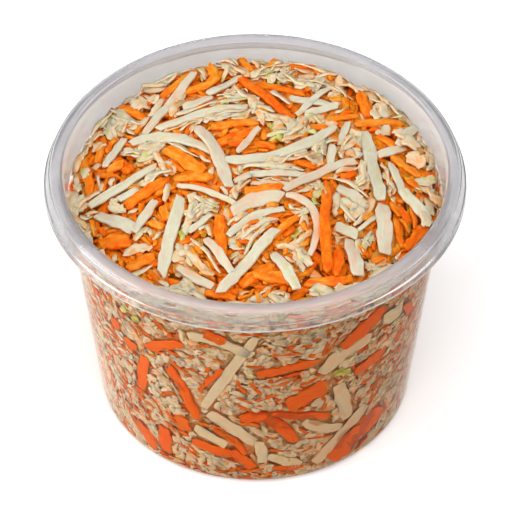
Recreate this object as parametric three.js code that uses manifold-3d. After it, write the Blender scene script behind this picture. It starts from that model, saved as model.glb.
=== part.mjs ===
// A round, clear deli cup heaped with coleslaw mix: pale cabbage shreds and orange carrot sticks.
// Millimetres, +Z up. The origin is the centre of the circle that the cup stands on.
import * as THREE from "three";
import { mergeVertices } from "three/addons/utils/BufferGeometryUtils.js";
import Module from "manifold-3d";

const wasm = await Module();
wasm.setup();

// The cup
const cupHeight = 80.4;
const skirtRadius = 58.5; // the widest circle, at the skirt's lower edge
const skirtBottom = 74;
const shoulderRadius = 52.8; // outside of the wall, level with the skirt's lower edge
const baseRadius = 43.75; // where the wall's slope would meet the floor
const cornerRadius = 3.5;
const wall = 0.6;
const footRingRadius = 35;
const footRecess = 0.8;
const cupSides = 48;

// The coleslaw
const gap = 0.3; // between the food and the cup
const moundEdge = 70.4; // the core's height at the wall
const moundCrown = 78.8; // and on the axis
const coreInset = 1.2; // how far the core stays behind the shreds that lie on the wall
const coreSides = 42;
const roughness = 0.45; // how uneven the core's fine shreds are
const moundFloor = footRecess + wall + gap;
const sideBottom = 7; // the lowest and highest middle of a shred on the wall
const sideTop = 65;
const goldenAngle = Math.PI * (3 - Math.sqrt(5)); // spreads the shreds like a sunflower's seeds

// What the salad is cut into, the largest first. top and side count the shreds of each kind that show.
const cuts = [
  { length: [18, 28], width: [3.0, 3.9], thickness: 1.9, tip: 0.1, bow: 0.1, steps: 3, top: 26, side: 20 },
  { length: [12, 24], width: [2.6, 3.4], thickness: 2.4, tip: 0.45, bow: 0.05, steps: 2, top: 26, side: 22 },
  { length: [8, 15], width: [1.8, 2.6], thickness: 1.6, tip: 0.3, bow: 0.12, steps: 1, top: 20, side: 18 },
];

const plastic = new THREE.MeshStandardMaterial({
  color: 0xe6e4e8,
  roughness: 0.15,
  metalness: 0,
  transparent: true,
  opacity: 0.3,
});
const salad = new THREE.MeshStandardMaterial({ color: 0xe9b173, roughness: 0.55, metalness: 0 });

// A repeatable random number from 0 to 1
let seed = 20417;
function random() {
  seed = (seed + 0x6d2b79f5) | 0;
  let mixed = Math.imul(seed ^ (seed >>> 15), 1 | seed);
  mixed = (mixed + Math.imul(mixed ^ (mixed >>> 7), 61 | mixed)) ^ mixed;
  return ((mixed ^ (mixed >>> 14)) >>> 0) / 4294967296;
}

function between(low, high) {
  return low + (high - low) * random();
}

// Leaves a geometry only its positions, so that corners in one place can be merged.
function bareOf(geometry) {
  geometry.deleteAttribute("normal");
  geometry.deleteAttribute("uv");
  return geometry;
}

function toSolid(geometry) {
  const merged = mergeVertices(bareOf(geometry), 1e-4);
  const vertProperties = merged.getAttribute("position").array;
  const triVerts = new Uint32Array(merged.index.array);
  return new wasm.Manifold(new wasm.Mesh({ numProp: 3, vertProperties, triVerts }));
}

function toGeometry(solid) {
  const { numProp, numVert, vertProperties, triVerts } = solid.getMesh();
  const positions = new Float32Array(numVert * 3);
  for (let i = 0; i < numVert; i++) {
    positions.set(vertProperties.subarray(i * numProp, i * numProp + 3), i * 3);
  }
  const geometry = new THREE.BufferGeometry();
  geometry.setAttribute("position", new THREE.BufferAttribute(positions, 3));
  geometry.setIndex(new THREE.BufferAttribute(new Uint32Array(triVerts), 1));
  const faceted = geometry.toNonIndexed();
  faceted.computeVertexNormals();
  return faceted;
}

// Turns a profile of [radius, height] points round the Z axis.
function turned(profile, sides) {
  const points = profile.map(([radius, height]) => new THREE.Vector2(radius, height));
  return new THREE.LatheGeometry(points, sides).rotateX(Math.PI / 2);
}

function arc(radius, height, size, from, to, steps) {
  const points = [];
  for (let i = 0; i <= steps; i++) {
    const angle = THREE.MathUtils.degToRad(from + ((to - from) * i) / steps);
    points.push([radius + size * Math.cos(angle), height + size * Math.sin(angle)]);
  }
  return points;
}

// The wall slopes out from the base to the shoulder.
const slope = (shoulderRadius - baseRadius) / skirtBottom;
const draft = THREE.MathUtils.radToDeg(Math.atan(slope));
const outerRadius = (height) => baseRadius + slope * height;
const innerRadius = (height) => outerRadius(height) - wall;

// The middle of the rounded corner between the wall and the floor
const cornerMiddle = outerRadius(cornerRadius) - cornerRadius / Math.cos(Math.atan(slope));

function cupProfile() {
  return [
    [0, footRecess],
    [footRingRadius, footRecess],
    [footRingRadius + footRecess, 0],
    ...arc(cornerMiddle, cornerRadius, cornerRadius, -90, -draft, 4),
    // up the outside, under the rim, and down inside the skirt
    [outerRadius(77.6), 77.6],
    [outerRadius(77.6) + 0.9, 79.2],
    [55.6, 79.5],
    [56.75, 78.2],
    [57.8, skirtBottom],
    // the skirt's outside, with a step above its lower band, up to the rounded lip
    [skirtRadius, skirtBottom],
    [skirtRadius - 0.15, 76.1],
    [skirtRadius - 0.6, 76.4],
    [skirtRadius - 1.1, 78.5],
    [56.5, 80],
    [55.7, cupHeight],
    [54.2, cupHeight],
    [53.3, 80],
    // down the inside to the floor
    [innerRadius(77.4), 77.4],
    ...arc(cornerMiddle, cornerRadius, cornerRadius - wall, -draft, -90, 4),
    [footRingRadius + footRecess, wall],
    [footRingRadius, footRecess + wall],
    [0, footRecess + wall],
  ];
}

function moundHeight(radius) {
  const share = radius / innerRadius(moundEdge);
  return moundCrown - (moundCrown - moundEdge) * share ** 2.2;
}

// The space that the food may take: the cup's inside less the gap, and open above
function cavity() {
  const top = cupHeight + 10;
  return toSolid(
    turned(
      [
        [0, moundFloor],
        [cornerMiddle, moundFloor],
        ...arc(cornerMiddle, cornerRadius + wall, cornerRadius - wall - gap, -75, -draft, 3),
        [innerRadius(top) - gap, top],
        [0, top],
      ],
      cupSides,
    ),
  );
}

// The food's inside, with its points pushed about so that it looks as uneven as the finest shreds
function core() {
  const edgeRadius = innerRadius(moundEdge) - gap - coreInset;
  const floorRadius = innerRadius(cornerRadius) - gap - coreInset;
  const profile = [
    [0, moundFloor + 0.1],
    [floorRadius - 2.5, moundFloor + 0.1],
  ];
  const wallRings = 8;
  for (let i = 0; i <= wallRings; i++) {
    const share = i / wallRings;
    const height = THREE.MathUtils.lerp(cornerRadius + 1, moundEdge - 1, share);
    profile.push([innerRadius(height) - gap - coreInset, height]);
  }
  const topRings = 8;
  for (let i = 0; i <= topRings; i++) {
    const radius = edgeRadius * Math.sqrt(1 - i / topRings) * 0.985;
    profile.push([radius, moundHeight(radius)]);
  }
  const merged = mergeVertices(bareOf(turned(profile, coreSides)), 1e-3);
  const points = merged.getAttribute("position");
  const point = new THREE.Vector3();
  for (let i = 0; i < points.count; i++) {
    point.fromBufferAttribute(points, i);
    if (point.z < moundFloor + 1) continue;
    const across = Math.hypot(point.x, point.y);
    const push = between(-roughness, roughness);
    if (across > edgeRadius * 0.99 || point.z < moundEdge - 2) {
      point.x *= 1 + push / across;
      point.y *= 1 + push / across;
    } else {
      point.z += push;
    }
    points.setXYZ(i, point.x, point.y, point.z);
  }
  return toSolid(merged);
}

// One shred: a bar that narrows to its ends and bows sideways, with each point then put down by place.
function shred(cut, place) {
  const length = between(...cut.length);
  const width = between(...cut.width);
  const bow = between(-cut.bow, cut.bow) * length;
  const box = bareOf(new THREE.BoxGeometry(length, width, cut.thickness, cut.steps));
  const points = box.getAttribute("position");
  for (let i = 0; i < points.count; i++) {
    const fromMiddle = (2 * points.getX(i)) / length;
    const narrow = 1 - cut.tip * fromMiddle ** 2;
    const across = points.getY(i) * narrow + bow * (1 - fromMiddle ** 2);
    const [x, y, z] = place(points.getX(i), across, points.getZ(i) * narrow);
    points.setXYZ(i, x, y, z);
  }
  return toSolid(box);
}

// Shreds that lie on the mound, spread out from its crown
function topShreds(cut) {
  const reach = innerRadius(moundEdge) - cut.length[0] / 2;
  return Array.from({ length: cut.top }, (_, i) => {
    const out = reach * Math.sqrt((i + random()) / cut.top);
    const turn = i * goldenAngle + cut.thickness * 9;
    const yaw = between(0, Math.PI);
    const tilt = between(-0.05, 0.05);
    const seat = between(0.1, 0.7);
    return shred(cut, (along, across, lift) => {
      const x = out * Math.cos(turn) + along * Math.cos(yaw) - across * Math.sin(yaw);
      const y = out * Math.sin(turn) + along * Math.sin(yaw) + across * Math.cos(yaw);
      return [x, y, moundHeight(Math.hypot(x, y)) + seat + tilt * along + lift];
    });
  });
}

// Shreds pressed flat against the wall, spread over its height and round it
function sideShreds(cut) {
  return Array.from({ length: cut.side }, (_, i) => {
    const middle = THREE.MathUtils.lerp(sideBottom, sideTop, (i + random()) / cut.side);
    const turn = i * goldenAngle + cut.thickness * 5;
    const yaw = between(-1.1, 1.1);
    return shred(cut, (along, across, lift) => {
      const round = along * Math.cos(yaw) - across * Math.sin(yaw);
      const rise = along * Math.sin(yaw) + across * Math.cos(yaw);
      const height = THREE.MathUtils.clamp(middle + rise, moundFloor + 2, moundEdge + 1);
      const face = innerRadius(height) - gap - 0.1;
      const radius = face - cut.thickness / 2 + lift;
      const angle = turn + round / face;
      return [radius * Math.cos(angle), radius * Math.sin(angle), height];
    });
  });
}

// Joins the core and its shreds into one solid inside the cup, without loose scraps or sealed hollows.
function coleslaw() {
  const pieces = [core(), ...cuts.flatMap(topShreds), ...cuts.flatMap(sideShreds)];
  const joined = wasm.Manifold.union(pieces).intersect(cavity()).simplify(0.05);
  const bodies = joined.decompose().sort((a, b) => b.volume() - a.volume());
  return bodies[0];
}

const cup = new THREE.Mesh(turned(cupProfile(), cupSides), plastic);
cup.name = "cup";

const food = new THREE.Mesh(toGeometry(coleslaw()), salad);
food.name = "coleslaw";

const part = new THREE.Group();
part.add(cup, food);

export default part;
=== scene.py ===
# A round, clear deli cup heaped with coleslaw mix: cabbage ribs, carrot sticks and crinkled leaf shreds.
# Lengths in the dictionaries are millimetres and angles are degrees, unless a note says otherwise.
import math

import bmesh
import bpy
import numpy as np
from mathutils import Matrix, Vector, noise


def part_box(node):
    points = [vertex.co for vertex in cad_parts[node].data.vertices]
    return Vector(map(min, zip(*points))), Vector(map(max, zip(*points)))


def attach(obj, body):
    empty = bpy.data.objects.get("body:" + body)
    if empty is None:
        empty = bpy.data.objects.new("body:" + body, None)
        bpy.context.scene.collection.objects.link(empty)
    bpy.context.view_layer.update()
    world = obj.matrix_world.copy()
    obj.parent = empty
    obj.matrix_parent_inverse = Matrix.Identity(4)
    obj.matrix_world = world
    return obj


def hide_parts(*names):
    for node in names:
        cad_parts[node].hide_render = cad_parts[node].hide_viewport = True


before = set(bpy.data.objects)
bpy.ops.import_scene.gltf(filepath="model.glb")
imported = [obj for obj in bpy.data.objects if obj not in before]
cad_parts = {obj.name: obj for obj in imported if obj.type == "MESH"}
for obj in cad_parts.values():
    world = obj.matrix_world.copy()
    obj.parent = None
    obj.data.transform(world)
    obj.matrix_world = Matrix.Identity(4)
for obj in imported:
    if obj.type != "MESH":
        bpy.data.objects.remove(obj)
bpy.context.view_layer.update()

mm = 0.001
draw = np.random.default_rng(20417)  # every random choice comes from here, so each run is the same


# Small helpers


def hexColour(code):
    # sRGB hex to the linear colour that a shader takes
    channels = [int(code[i:i + 2], 16) / 255 for i in (1, 3, 5)]
    linear = [c / 12.92 if c <= 0.04045 else ((c + 0.055) / 1.055) ** 2.4 for c in channels]
    return (*linear, 1.0)


def setStops(elements, stops):
    # a ramp's stops, each a place from 0 to 1 and its hex colour
    while len(elements) < len(stops):
        elements.new(0.5)
    for element, (position, colour) in zip(elements, stops):
        element.position = position
        element.color = hexColour(colour)


def addNode(tree, kind, settings=None, links=None):
    # Adds a node and gives back its outputs. settings are properties, unlinked sockets or a ramp's stops,
    # and links are sockets fed by another node's output.
    node = tree.nodes.new(kind)
    for name, value in (settings or {}).items():
        if name == "stops":
            setStops(node.color_ramp.elements, value)
        elif isinstance(name, int) or name in node.inputs:
            node.inputs[name].default_value = value
        else:
            setattr(node, name, value)
    for name, output in (links or {}).items():
        tree.links.new(output, node.inputs[name])
    return node.outputs


def newMaterial(name, settings):
    material = bpy.data.materials.new(name)
    material.use_nodes = True
    tree = material.node_tree
    shader = tree.nodes["Principled BSDF"]
    for socket, value in settings.items():
        shader.inputs[socket].default_value = value
    return material, tree, shader


def newObject(name, mesh, material):
    piece = bpy.data.objects.new(name, mesh)
    bpy.context.scene.collection.objects.link(piece)
    mesh.materials.append(material)
    mesh.polygons.foreach_set("use_smooth", [True] * len(mesh.polygons))
    return piece


# Camera

camera = {
    "elevation": 43.71,
    "distance": 1420.2,
    "target": (0.235, 0.0, 46.63),
    "focalPixels": 5066,  # the focal length, in pixels of the photograph
    "frame": 512,
    "sensor": 36.0,
}


def cameraAxes():
    tilt = math.radians(camera["elevation"])
    forward = np.array([0.0, math.cos(tilt), -math.sin(tilt)])
    upward = np.array([0.0, math.sin(tilt), math.cos(tilt)])
    place = np.array(camera["target"]) - forward * camera["distance"]
    return place, forward, upward


def pixelRay(pixel):
    # the start and direction of the line of sight through a pixel of the photograph
    place, forward, upward = cameraAxes()
    x = (pixel[0] - camera["frame"] / 2) / camera["focalPixels"]
    y = (camera["frame"] / 2 - pixel[1]) / camera["focalPixels"]
    direction = forward + np.array([x, 0.0, 0.0]) + upward * y
    return place, direction / np.linalg.norm(direction)


def makeCamera():
    place, forward, _ = cameraAxes()
    lens = bpy.data.cameras.new("camera")
    lens.sensor_width = camera["sensor"]
    lens.lens = camera["sensor"] * camera["focalPixels"] / camera["frame"]
    viewer = bpy.data.objects.new("camera", lens)
    viewer.location = Vector(place * mm)
    viewer.rotation_euler = Vector(forward).to_track_quat("-Z", "Y").to_euler()
    bpy.context.scene.collection.objects.link(viewer)
    bpy.context.scene.camera = viewer


makeCamera()
print("camera placed")


# The cup

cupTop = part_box("cup")[1]
cup = {
    "skirtRadius": cupTop.x / mm,
    "height": cupTop.z / mm,
    "skirtBottom": 74.0,
    "shoulderRadius": 52.8,
    "baseRadius": 43.75,
    "cornerRadius": 3.5,
    "wall": 0.6,
    "footRingRadius": 35.0,
    "footRecess": 0.8,
    "dryFrom": 70.5,  # above this no salad touches the plastic
    "turns": 192,
    "cornerSteps": 5,
}
slope = (cup["shoulderRadius"] - cup["baseRadius"]) / cup["skirtBottom"]


def outerRadius(height):
    return cup["baseRadius"] + slope * height


def innerRadius(height):
    return outerRadius(height) - cup["wall"]


def insideRadius(height):
    # the cup's inside, with the rounded corner at its floor
    size = cup["cornerRadius"]
    middle = outerRadius(size) - size / math.cos(math.atan(slope))
    drop = np.clip(size - height, 0, size - cup["wall"])
    corner = middle + np.sqrt(np.maximum((size - cup["wall"]) ** 2 - drop ** 2, 0))
    return np.where(height < size, np.minimum(corner, innerRadius(height)), innerRadius(height))


def cupProfile():
    # radius, height and how far the corner there is rounded back along its two sides
    ring, recess, wall = cup["footRingRadius"], cup["footRecess"], cup["wall"]
    skirt, foot, top = cup["skirtRadius"], cup["skirtBottom"], cup["height"]
    corner, dry = cup["cornerRadius"], cup["dryFrom"]
    return [
        (0, recess, 0),
        (ring, recess, 0.3),
        (ring + recess, 0, 0.3),
        (outerRadius(0), 0, corner * 0.89),
        (outerRadius(dry), dry, 0),
        (outerRadius(77.6), 77.6, 0.6),
        (outerRadius(77.6) + 0.9, 79.2, 0.5),
        (55.6, 79.5, 0.6),
        (56.75, 78.2, 0.6),
        (57.8, foot, 0.12),
        (skirt, foot, 0.2),
        (skirt - 0.15, foot + 2.1, 0.15),
        (skirt - 0.6, foot + 2.4, 0.15),
        (skirt - 1.1, foot + 4.5, 0.5),
        (57.05, top - 1.15, 0.15),
        (56.75, top - 1.05, 0.1),
        (56.3, top - 0.3, 0.3),
        (55.6, top, 0.3),
        (54.3, top, 0.12),
        (53.3, top - 0.4, 0.15),
        (innerRadius(78.2), 78.2, 0.15),
        (innerRadius(dry), dry, 0),
        (innerRadius(wall), wall, (corner - wall) * 0.89),
        (ring + recess, wall, 0.3),
        (ring, recess + wall, 0.3),
        (0, recess + wall, 0),
    ]


def roundCorner(bm, corner, size):
    bmesh.ops.bevel(
        bm,
        geom=[corner],
        offset=size * mm,
        offset_type="OFFSET",
        segments=cup["cornerSteps"],
        profile=0.5,
        affect="VERTICES",
        material=-1,
    )


def drawProfile(bm, points):
    corners = [bm.verts.new((radius * mm, 0, height * mm)) for radius, height in points]
    for start, end in zip(corners, corners[1:]):
        bm.edges.new((start, end))
    return corners


def spinProfile(bm, turns):
    # turns a profile round the Z axis into a closed skin that faces outwards
    bmesh.ops.spin(
        bm,
        geom=bm.verts[:] + bm.edges[:],
        axis=(0, 0, 1),
        cent=(0, 0, 0),
        angle=math.tau,
        steps=turns,
        use_merge=True,
    )
    bmesh.ops.remove_doubles(bm, verts=bm.verts[:], dist=0.002 * mm)
    bmesh.ops.recalc_face_normals(bm, faces=bm.faces[:])


def toMesh(bm, name):
    mesh = bpy.data.meshes.new(name)
    bm.to_mesh(mesh)
    bm.free()
    return mesh


def spunShell(profile):
    bm = bmesh.new()
    corners = drawProfile(bm, [(radius, height) for radius, height, _ in profile])
    for corner, (_, _, size) in zip(corners, profile):
        if size:
            roundCorner(bm, corner, size)
    spinProfile(bm, cup["turns"])
    return toMesh(bm, "cupShell")


coolingWaves = {"apart": 9.0, "depth": 0.1, "strength": 0.2}


def addWaves(tree, shader, place):
    # slow waves left in the plastic as it cooled
    size = {"Scale": 1 / (coolingWaves["apart"] * mm), "Detail": 2.0}
    uneven = addNode(tree, "ShaderNodeTexNoise", size, {"Vector": place})["Fac"]
    depth = {"Strength": coolingWaves["strength"], "Distance": coolingWaves["depth"] * mm}
    bump = addNode(tree, "ShaderNodeBump", depth, {"Height": uneven})["Normal"]
    tree.links.new(bump, shader.inputs["Normal"])


# painted shade: the wet plastic's tint, darker and warmer from the cup's left to its right, where less light
# falls
paintedRightShade = {"left": -46.0, "right": 34.0, "tints": [(0.0, "#f1eae3"), (0.4, "#e7d9ca"), (0.9, "#e0cdb8")]}


def wettedPolypropylene():
    # Clear polypropylene, injection moulded, where the wet salad lies against it: nearly invisible, because
    # the moisture takes the reflection off its inside. A painted shade tints it, darker and warmer towards
    # the right.
    wetted = {"IOR": 1.07, "Roughness": 0.05, "Transmission Weight": 1.0}
    material, tree, shader = newMaterial("wettedClearPolypropylene", wetted)
    place = addNode(tree, "ShaderNodeTexCoord")["Object"]
    across = addNode(tree, "ShaderNodeSeparateXYZ", links={"Vector": place})["X"]
    ends = {"From Min": paintedRightShade["left"] * mm, "From Max": paintedRightShade["right"] * mm}
    share = addNode(tree, "ShaderNodeMapRange", ends, {"Value": across})[0]
    tint = addNode(tree, "ShaderNodeValToRGB", {"stops": paintedRightShade["tints"]}, {"Fac": share})[0]
    tree.links.new(tint, shader.inputs["Base Color"])
    addWaves(tree, shader, place)
    return material


# Each share of the dry plastic: what it is measured along, the millimetres between which it changes, and
# its values there.
dryShares = {
    "behind": ("Y", (-46.0, -30.0), (0.0, 1.0)),
    "beside": ("side", (30.0, 52.0), (0.75, 1.0)),
    "skirt": ("radius", (54.6, 56.6), (0.0, 1.0)),
    "lip": ("Z", (79.2, 79.7), (0.0, 1.0)),
    "wet": ("Z", (70.4, 72.0), (1.0, 0.0)),
    "edge": ("Z", (74.05, 74.5), (1.0, 0.0)),
}
# The plastic's tint without fog, with the sides' and with the back's, and how clear it is without and with it
sideFog = 0.75
fogZones = {
    "wall": {"tints": ("#fcfaf8", "#d0cecb", "#e2dedc"), "clear": (0.98, 0.75)},
    "skirt": {"tints": ("#fcfaf8", "#e8e7e9", "#bcbbbd"), "clear": (0.98, 0.88)},
    "lip": {"tints": ("#d4cac7", "#dddce0", "#b6b5b9"), "clear": (0.52, 0.7)},
}
fogSmears = {"size": 6.0, "least": 0.9, "most": 1.05}


def foggedPolypropylene():
    # The same plastic in the air above the salad: a grey fog on it dims what is behind it and catches light
    # of its own. It is thickest at the back, thinner at the sides, and has cleared at the front.
    material, tree, shader = newMaterial("foggedClearPolypropylene", {"IOR": 1.42})
    place = addNode(tree, "ShaderNodeTexCoord")["Object"]
    axes = addNode(tree, "ShaderNodeSeparateXYZ", links={"Vector": place})
    flatten = {"operation": "MULTIPLY", 1: (1, 1, 0)}
    flat = addNode(tree, "ShaderNodeVectorMath", flatten, {0: place})["Vector"]
    radius = addNode(tree, "ShaderNodeVectorMath", {"operation": "LENGTH"}, {0: flat})["Value"]
    side = addNode(tree, "ShaderNodeMath", {"operation": "ABSOLUTE"}, {0: axes["X"]})[0]
    measured = {"Y": axes["Y"], "Z": axes["Z"], "radius": radius, "side": side}
    share = {}
    for name, (along, (start, end), (low, high)) in dryShares.items():
        ends = {"From Min": start * mm, "From Max": end * mm, "To Min": low, "To Max": high}
        share[name] = addNode(tree, "ShaderNodeMapRange", ends, {"Value": measured[along]})[0]
    size = {"Scale": 1 / (fogSmears["size"] * mm), "Detail": 3.0}
    smear = addNode(tree, "ShaderNodeTexNoise", size, {"Vector": place})["Fac"]
    ends = {"From Min": 0.2, "From Max": 0.8, "To Min": fogSmears["least"], "To Max": fogSmears["most"]}
    smears = addNode(tree, "ShaderNodeMapRange", ends, {"Value": smear})[0]
    fog = share["behind"]
    for other in (share["beside"], smears):
        fog = addNode(tree, "ShaderNodeMath", {"operation": "MULTIPLY"}, {0: fog, 1: other})[0]
    tint, clear = None, None
    for name, zone in fogZones.items():
        stops = list(zip((0.0, sideFog, 1.0), zone["tints"]))
        zoneTint = addNode(tree, "ShaderNodeValToRGB", {"stops": stops}, {"Fac": fog})[0]
        ends = {"From Max": sideFog, "To Min": zone["clear"][0], "To Max": zone["clear"][1]}
        zoneClear = addNode(tree, "ShaderNodeMapRange", ends, {"Value": fog})[0]
        if tint is None:
            tint, clear = zoneTint, zoneClear
            continue
        mix, over = {"data_type": "RGBA"}, share[name]
        tint = addNode(tree, "ShaderNodeMix", mix, {0: over, 6: tint, 7: zoneTint})[2]
        clear = addNode(tree, "ShaderNodeMix", mix, {0: over, 6: clear, 7: zoneClear})[2]
    clear = addNode(tree, "ShaderNodeMath", {"operation": "MAXIMUM"}, {0: clear, 1: share["wet"]})[0]
    # the skirt's lower edge is matt from the mould and scatters the light that runs down the plastic
    times = {"operation": "MULTIPLY"}
    edge = addNode(tree, "ShaderNodeMath", times, {0: share["skirt"], 1: share["edge"]})[0]
    matt = addNode(tree, "ShaderNodeMapRange", {"To Min": 1.0, "To Max": 0.5}, {"Value": edge})[0]
    clear = addNode(tree, "ShaderNodeMath", times, {0: clear, 1: matt})[0]
    rough = addNode(tree, "ShaderNodeMapRange", {"To Min": 0.06, "To Max": 0.14}, {"Value": fog})[0]
    for socket, output in (("Base Color", tint), ("Transmission Weight", clear), ("Roughness", rough)):
        tree.links.new(output, shader.inputs[socket])
    addWaves(tree, shader, place)
    return material


cupShell = newObject("cupShell", spunShell(cupProfile()), wettedPolypropylene())
cupShell.data.materials.append(foggedPolypropylene())
for face in cupShell.data.polygons:
    if face.center.z > cup["dryFrom"] * mm:
        face.material_index = 1
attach(cupShell, "root")
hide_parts("cup")
print("cup spun:", len(cupShell.data.polygons), "faces")


# Where the salad lies

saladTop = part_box("coleslaw")[1]
mound = {
    "edge": 70.4,  # the heap's height at the wall
    "crown": saladTop.z / mm - 1.9,  # and on the axis
    "steepness": 2.2,
    "backLift": 3.8,  # how much higher it lies against the wall at the back
    "backFrom": -5.0,  # how far back that rise starts
    "backTo": 40.0,  # and ends
    "backCrest": 1.6,  # how much higher still it lies at its very back
    "crestFrom": 38.0,
    "crestTo": 52.0,
    "underTop": 3.0,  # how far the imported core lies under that
    "underWall": 1.0,  # and behind the wall
    "bite": 0.3,  # how far pressed shreds reach into the plastic, so that no air shows
    "cap": 79.6,  # above this a shred is held down
    "capGive": 0.9,  # how far past that it may still reach
    "capBend": 1.5,  # and how softly it bends there
    "clear": 0.25,  # how far the fine shreds keep from the edges of those that have to show
}
grid = {"cell": 0.5, "reach": 56.0, "wallRadius": 48.0}


def backLift(v):
    share = np.clip((v - mound["backFrom"]) / (mound["backTo"] - mound["backFrom"]), 0, 1)
    crest = np.clip((v - mound["crestFrom"]) / (mound["crestTo"] - mound["crestFrom"]), 0, 1)
    return mound["backLift"] * share ** 2 * (3 - 2 * share) + mound["backCrest"] * crest


def moundHeight(u, v):
    share = np.minimum(np.hypot(u, v) / innerRadius(mound["edge"]), 1.03)
    return mound["crown"] - (mound["crown"] - mound["edge"] - backLift(v)) * share ** mound["steepness"]


def wallEdge(around):
    # how high the salad stands on the wall, that far round it
    return mound["edge"] + backLift(-innerRadius(mound["edge"]) * np.sin(around / grid["wallRadius"]))


def floorHeight(radius):
    # the inside of the raised floor and of the foot ring round it
    drop = np.clip((radius - cup["footRingRadius"]) / cup["footRecess"], 0, 1)
    return cup["wall"] + cup["footRecess"] * (1 - drop)


def insideCup(points):
    # draws in what would pass through the wall or the floor, and holds down what stands up
    radius = np.hypot(points[:, 0], points[:, 1])
    low = floorHeight(radius) - mound["bite"]
    points[:, 2] = np.maximum(points[:, 2], low)
    over = np.maximum(points[:, 2] - mound["cap"], 0)
    points[:, 2] -= over - mound["capGive"] * (1 - np.exp(-over / mound["capBend"]))
    limit = insideRadius(points[:, 2]) + mound["bite"]
    shrink = np.minimum(1, limit / np.maximum(radius, 1e-6))
    points[:, 0] *= shrink
    points[:, 1] *= shrink
    return points


def putOnMound(u, v, h):
    return insideCup(np.stack([u, v, h], axis=1))


def putOnWall(u, v, h):
    # u runs clockwise round the wall and v up it, and h is the depth behind the wall's inside
    angle = -u / grid["wallRadius"]
    radius = insideRadius(v) + mound["bite"] - h
    return insideCup(np.stack([radius * np.cos(angle), radius * np.sin(angle), v], axis=1))


def putOnFloor(u, v, h):
    return insideCup(np.stack([u, v, floorHeight(np.hypot(u, v)) - mound["bite"] + h], axis=1))


def flatGrid():
    across = np.arange(-grid["reach"], grid["reach"], grid["cell"]) + grid["cell"] / 2
    return np.meshgrid(across, across, indexing="ij")


def makeSurfaces():
    # each surface keeps a map of how high the salad on it has grown
    u, v = flatGrid()
    around = int(math.tau * grid["wallRadius"] / grid["cell"])
    upward = int(cup["height"] / grid["cell"])
    corner = (-grid["reach"], -grid["reach"])
    packed = moundHeight(u, v) - mound["underTop"]
    made = {
        "mound": {"heap": packed, "corner": corner, "wraps": False, "put": putOnMound},
        "wall": {"heap": np.zeros((around, upward)), "corner": (0.0, 0.0), "wraps": True, "put": putOnWall},
        "floor": {"heap": np.zeros(u.shape), "corner": corner, "wraps": False, "put": putOnFloor},
    }
    for surface in made.values():
        surface["taken"] = np.zeros_like(surface["heap"])
    return made


surfaces = makeSurfaces()


def cells(surface, u, v):
    i = np.floor((u - surface["corner"][0]) / grid["cell"]).astype(int)
    j = np.floor((v - surface["corner"][1]) / grid["cell"]).astype(int)
    high = surface["heap"].shape
    i = i % high[0] if surface["wraps"] else np.clip(i, 0, high[0] - 1)
    return i, np.clip(j, 0, high[1] - 1)


def level(surface, u, v):
    return surface["heap"][cells(surface, u, v)]


# How a shred comes to rest


def drape(support, along, bend):
    # A limp shred: it sags over what is under it, no tighter than its bend allows.
    away = (along[:, None] - along[None, :]) ** 2
    lifted = (support[:, None, :] - bend / 2 * away).max(axis=2)
    for _ in range(2):
        padded = np.concatenate([lifted[:, :1], lifted, lifted[:, -1:]], axis=1)
        lifted = (padded[:, :-2] + 2 * padded[:, 1:-1] + padded[:, 2:]) / 4
    return lifted


def balance(support, along, bend):
    # A stiff shred: it rests on one point at each side of its middle.
    arched = support + bend / 2 * along ** 2
    left, right = along < 0, along >= 0
    a, b = along[left][None, :, None], along[right][None, None, :]
    high, low = arched[:, left][:, :, None], arched[:, right][:, None, :]
    middle = (high * b - low * a) / (b - a)
    steep = (low - high) / (b - a)
    best = middle.reshape(len(support), -1).argmax(axis=1)
    rows = np.arange(len(support))
    middle = middle.reshape(len(support), -1)[rows, best][:, None]
    steep = steep.reshape(len(support), -1)[rows, best][:, None]
    return middle + steep * along - bend / 2 * along ** 2


stations = 17  # points along its length at which a shred feels what is under it
feelAt = 0.4  # how far out it feels to each side, as a share of its width
leanMost = 0.6  # how steeply it may lie across


def settle(surface, kind, u, v, width, thickness):
    # u and v hold one row of stations for each place tried; gives the underside's height and the lean across
    step = np.hypot(np.diff(u, axis=1), np.diff(v, axis=1))
    length = step.sum(axis=1).mean()
    along = np.linspace(-length / 2, length / 2, u.shape[1])
    du, dv = np.gradient(u, axis=1), np.gradient(v, axis=1)
    size = np.maximum(np.hypot(du, dv), 1e-6)
    nu, nv = -dv / size * width * feelAt, du / size * width * feelAt
    one, other = level(surface, u + nu, v + nv), level(surface, u - nu, v - nv)
    support = np.maximum(level(surface, u, v), (one + other) / 2)
    resting = balance if kind["stiff"] else drape
    low = resting(support, along, kind["bend"]) - kind["sink"] * thickness
    lean = (one - other).mean(axis=1) / (2 * feelAt * width)
    return low, np.clip(lean, -leanMost, leanMost)


def press(surface, u, v, low, width, thickness, lean, shown):
    # raises the heap under a shred that has come to rest, and marks one that has to stay in view
    fine = np.linspace(0, 1, max(8, int(np.hypot(u[-1] - u[0], v[-1] - v[0]) / grid["cell"] * 1.6)))
    share = np.linspace(0, 1, len(u))
    fu, fv, fl = (np.interp(fine, share, a) for a in (u, v, low))
    du, dv = np.gradient(fu), np.gradient(fv)
    size = np.maximum(np.hypot(du, dv), 1e-6)
    reach = width / 2 + (mound["clear"] if shown and not surface["wraps"] else 0)
    for q in np.arange(-reach, reach + 0.01, grid["cell"] * 0.7):
        i, j = cells(surface, fu - dv / size * q, fv + du / size * q)
        if shown:
            surface["taken"][i, j] = 1
        if abs(q) < width / 2 + 0.1:
            np.maximum.at(surface["heap"], (i, j), fl + lean * q + thickness)
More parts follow.
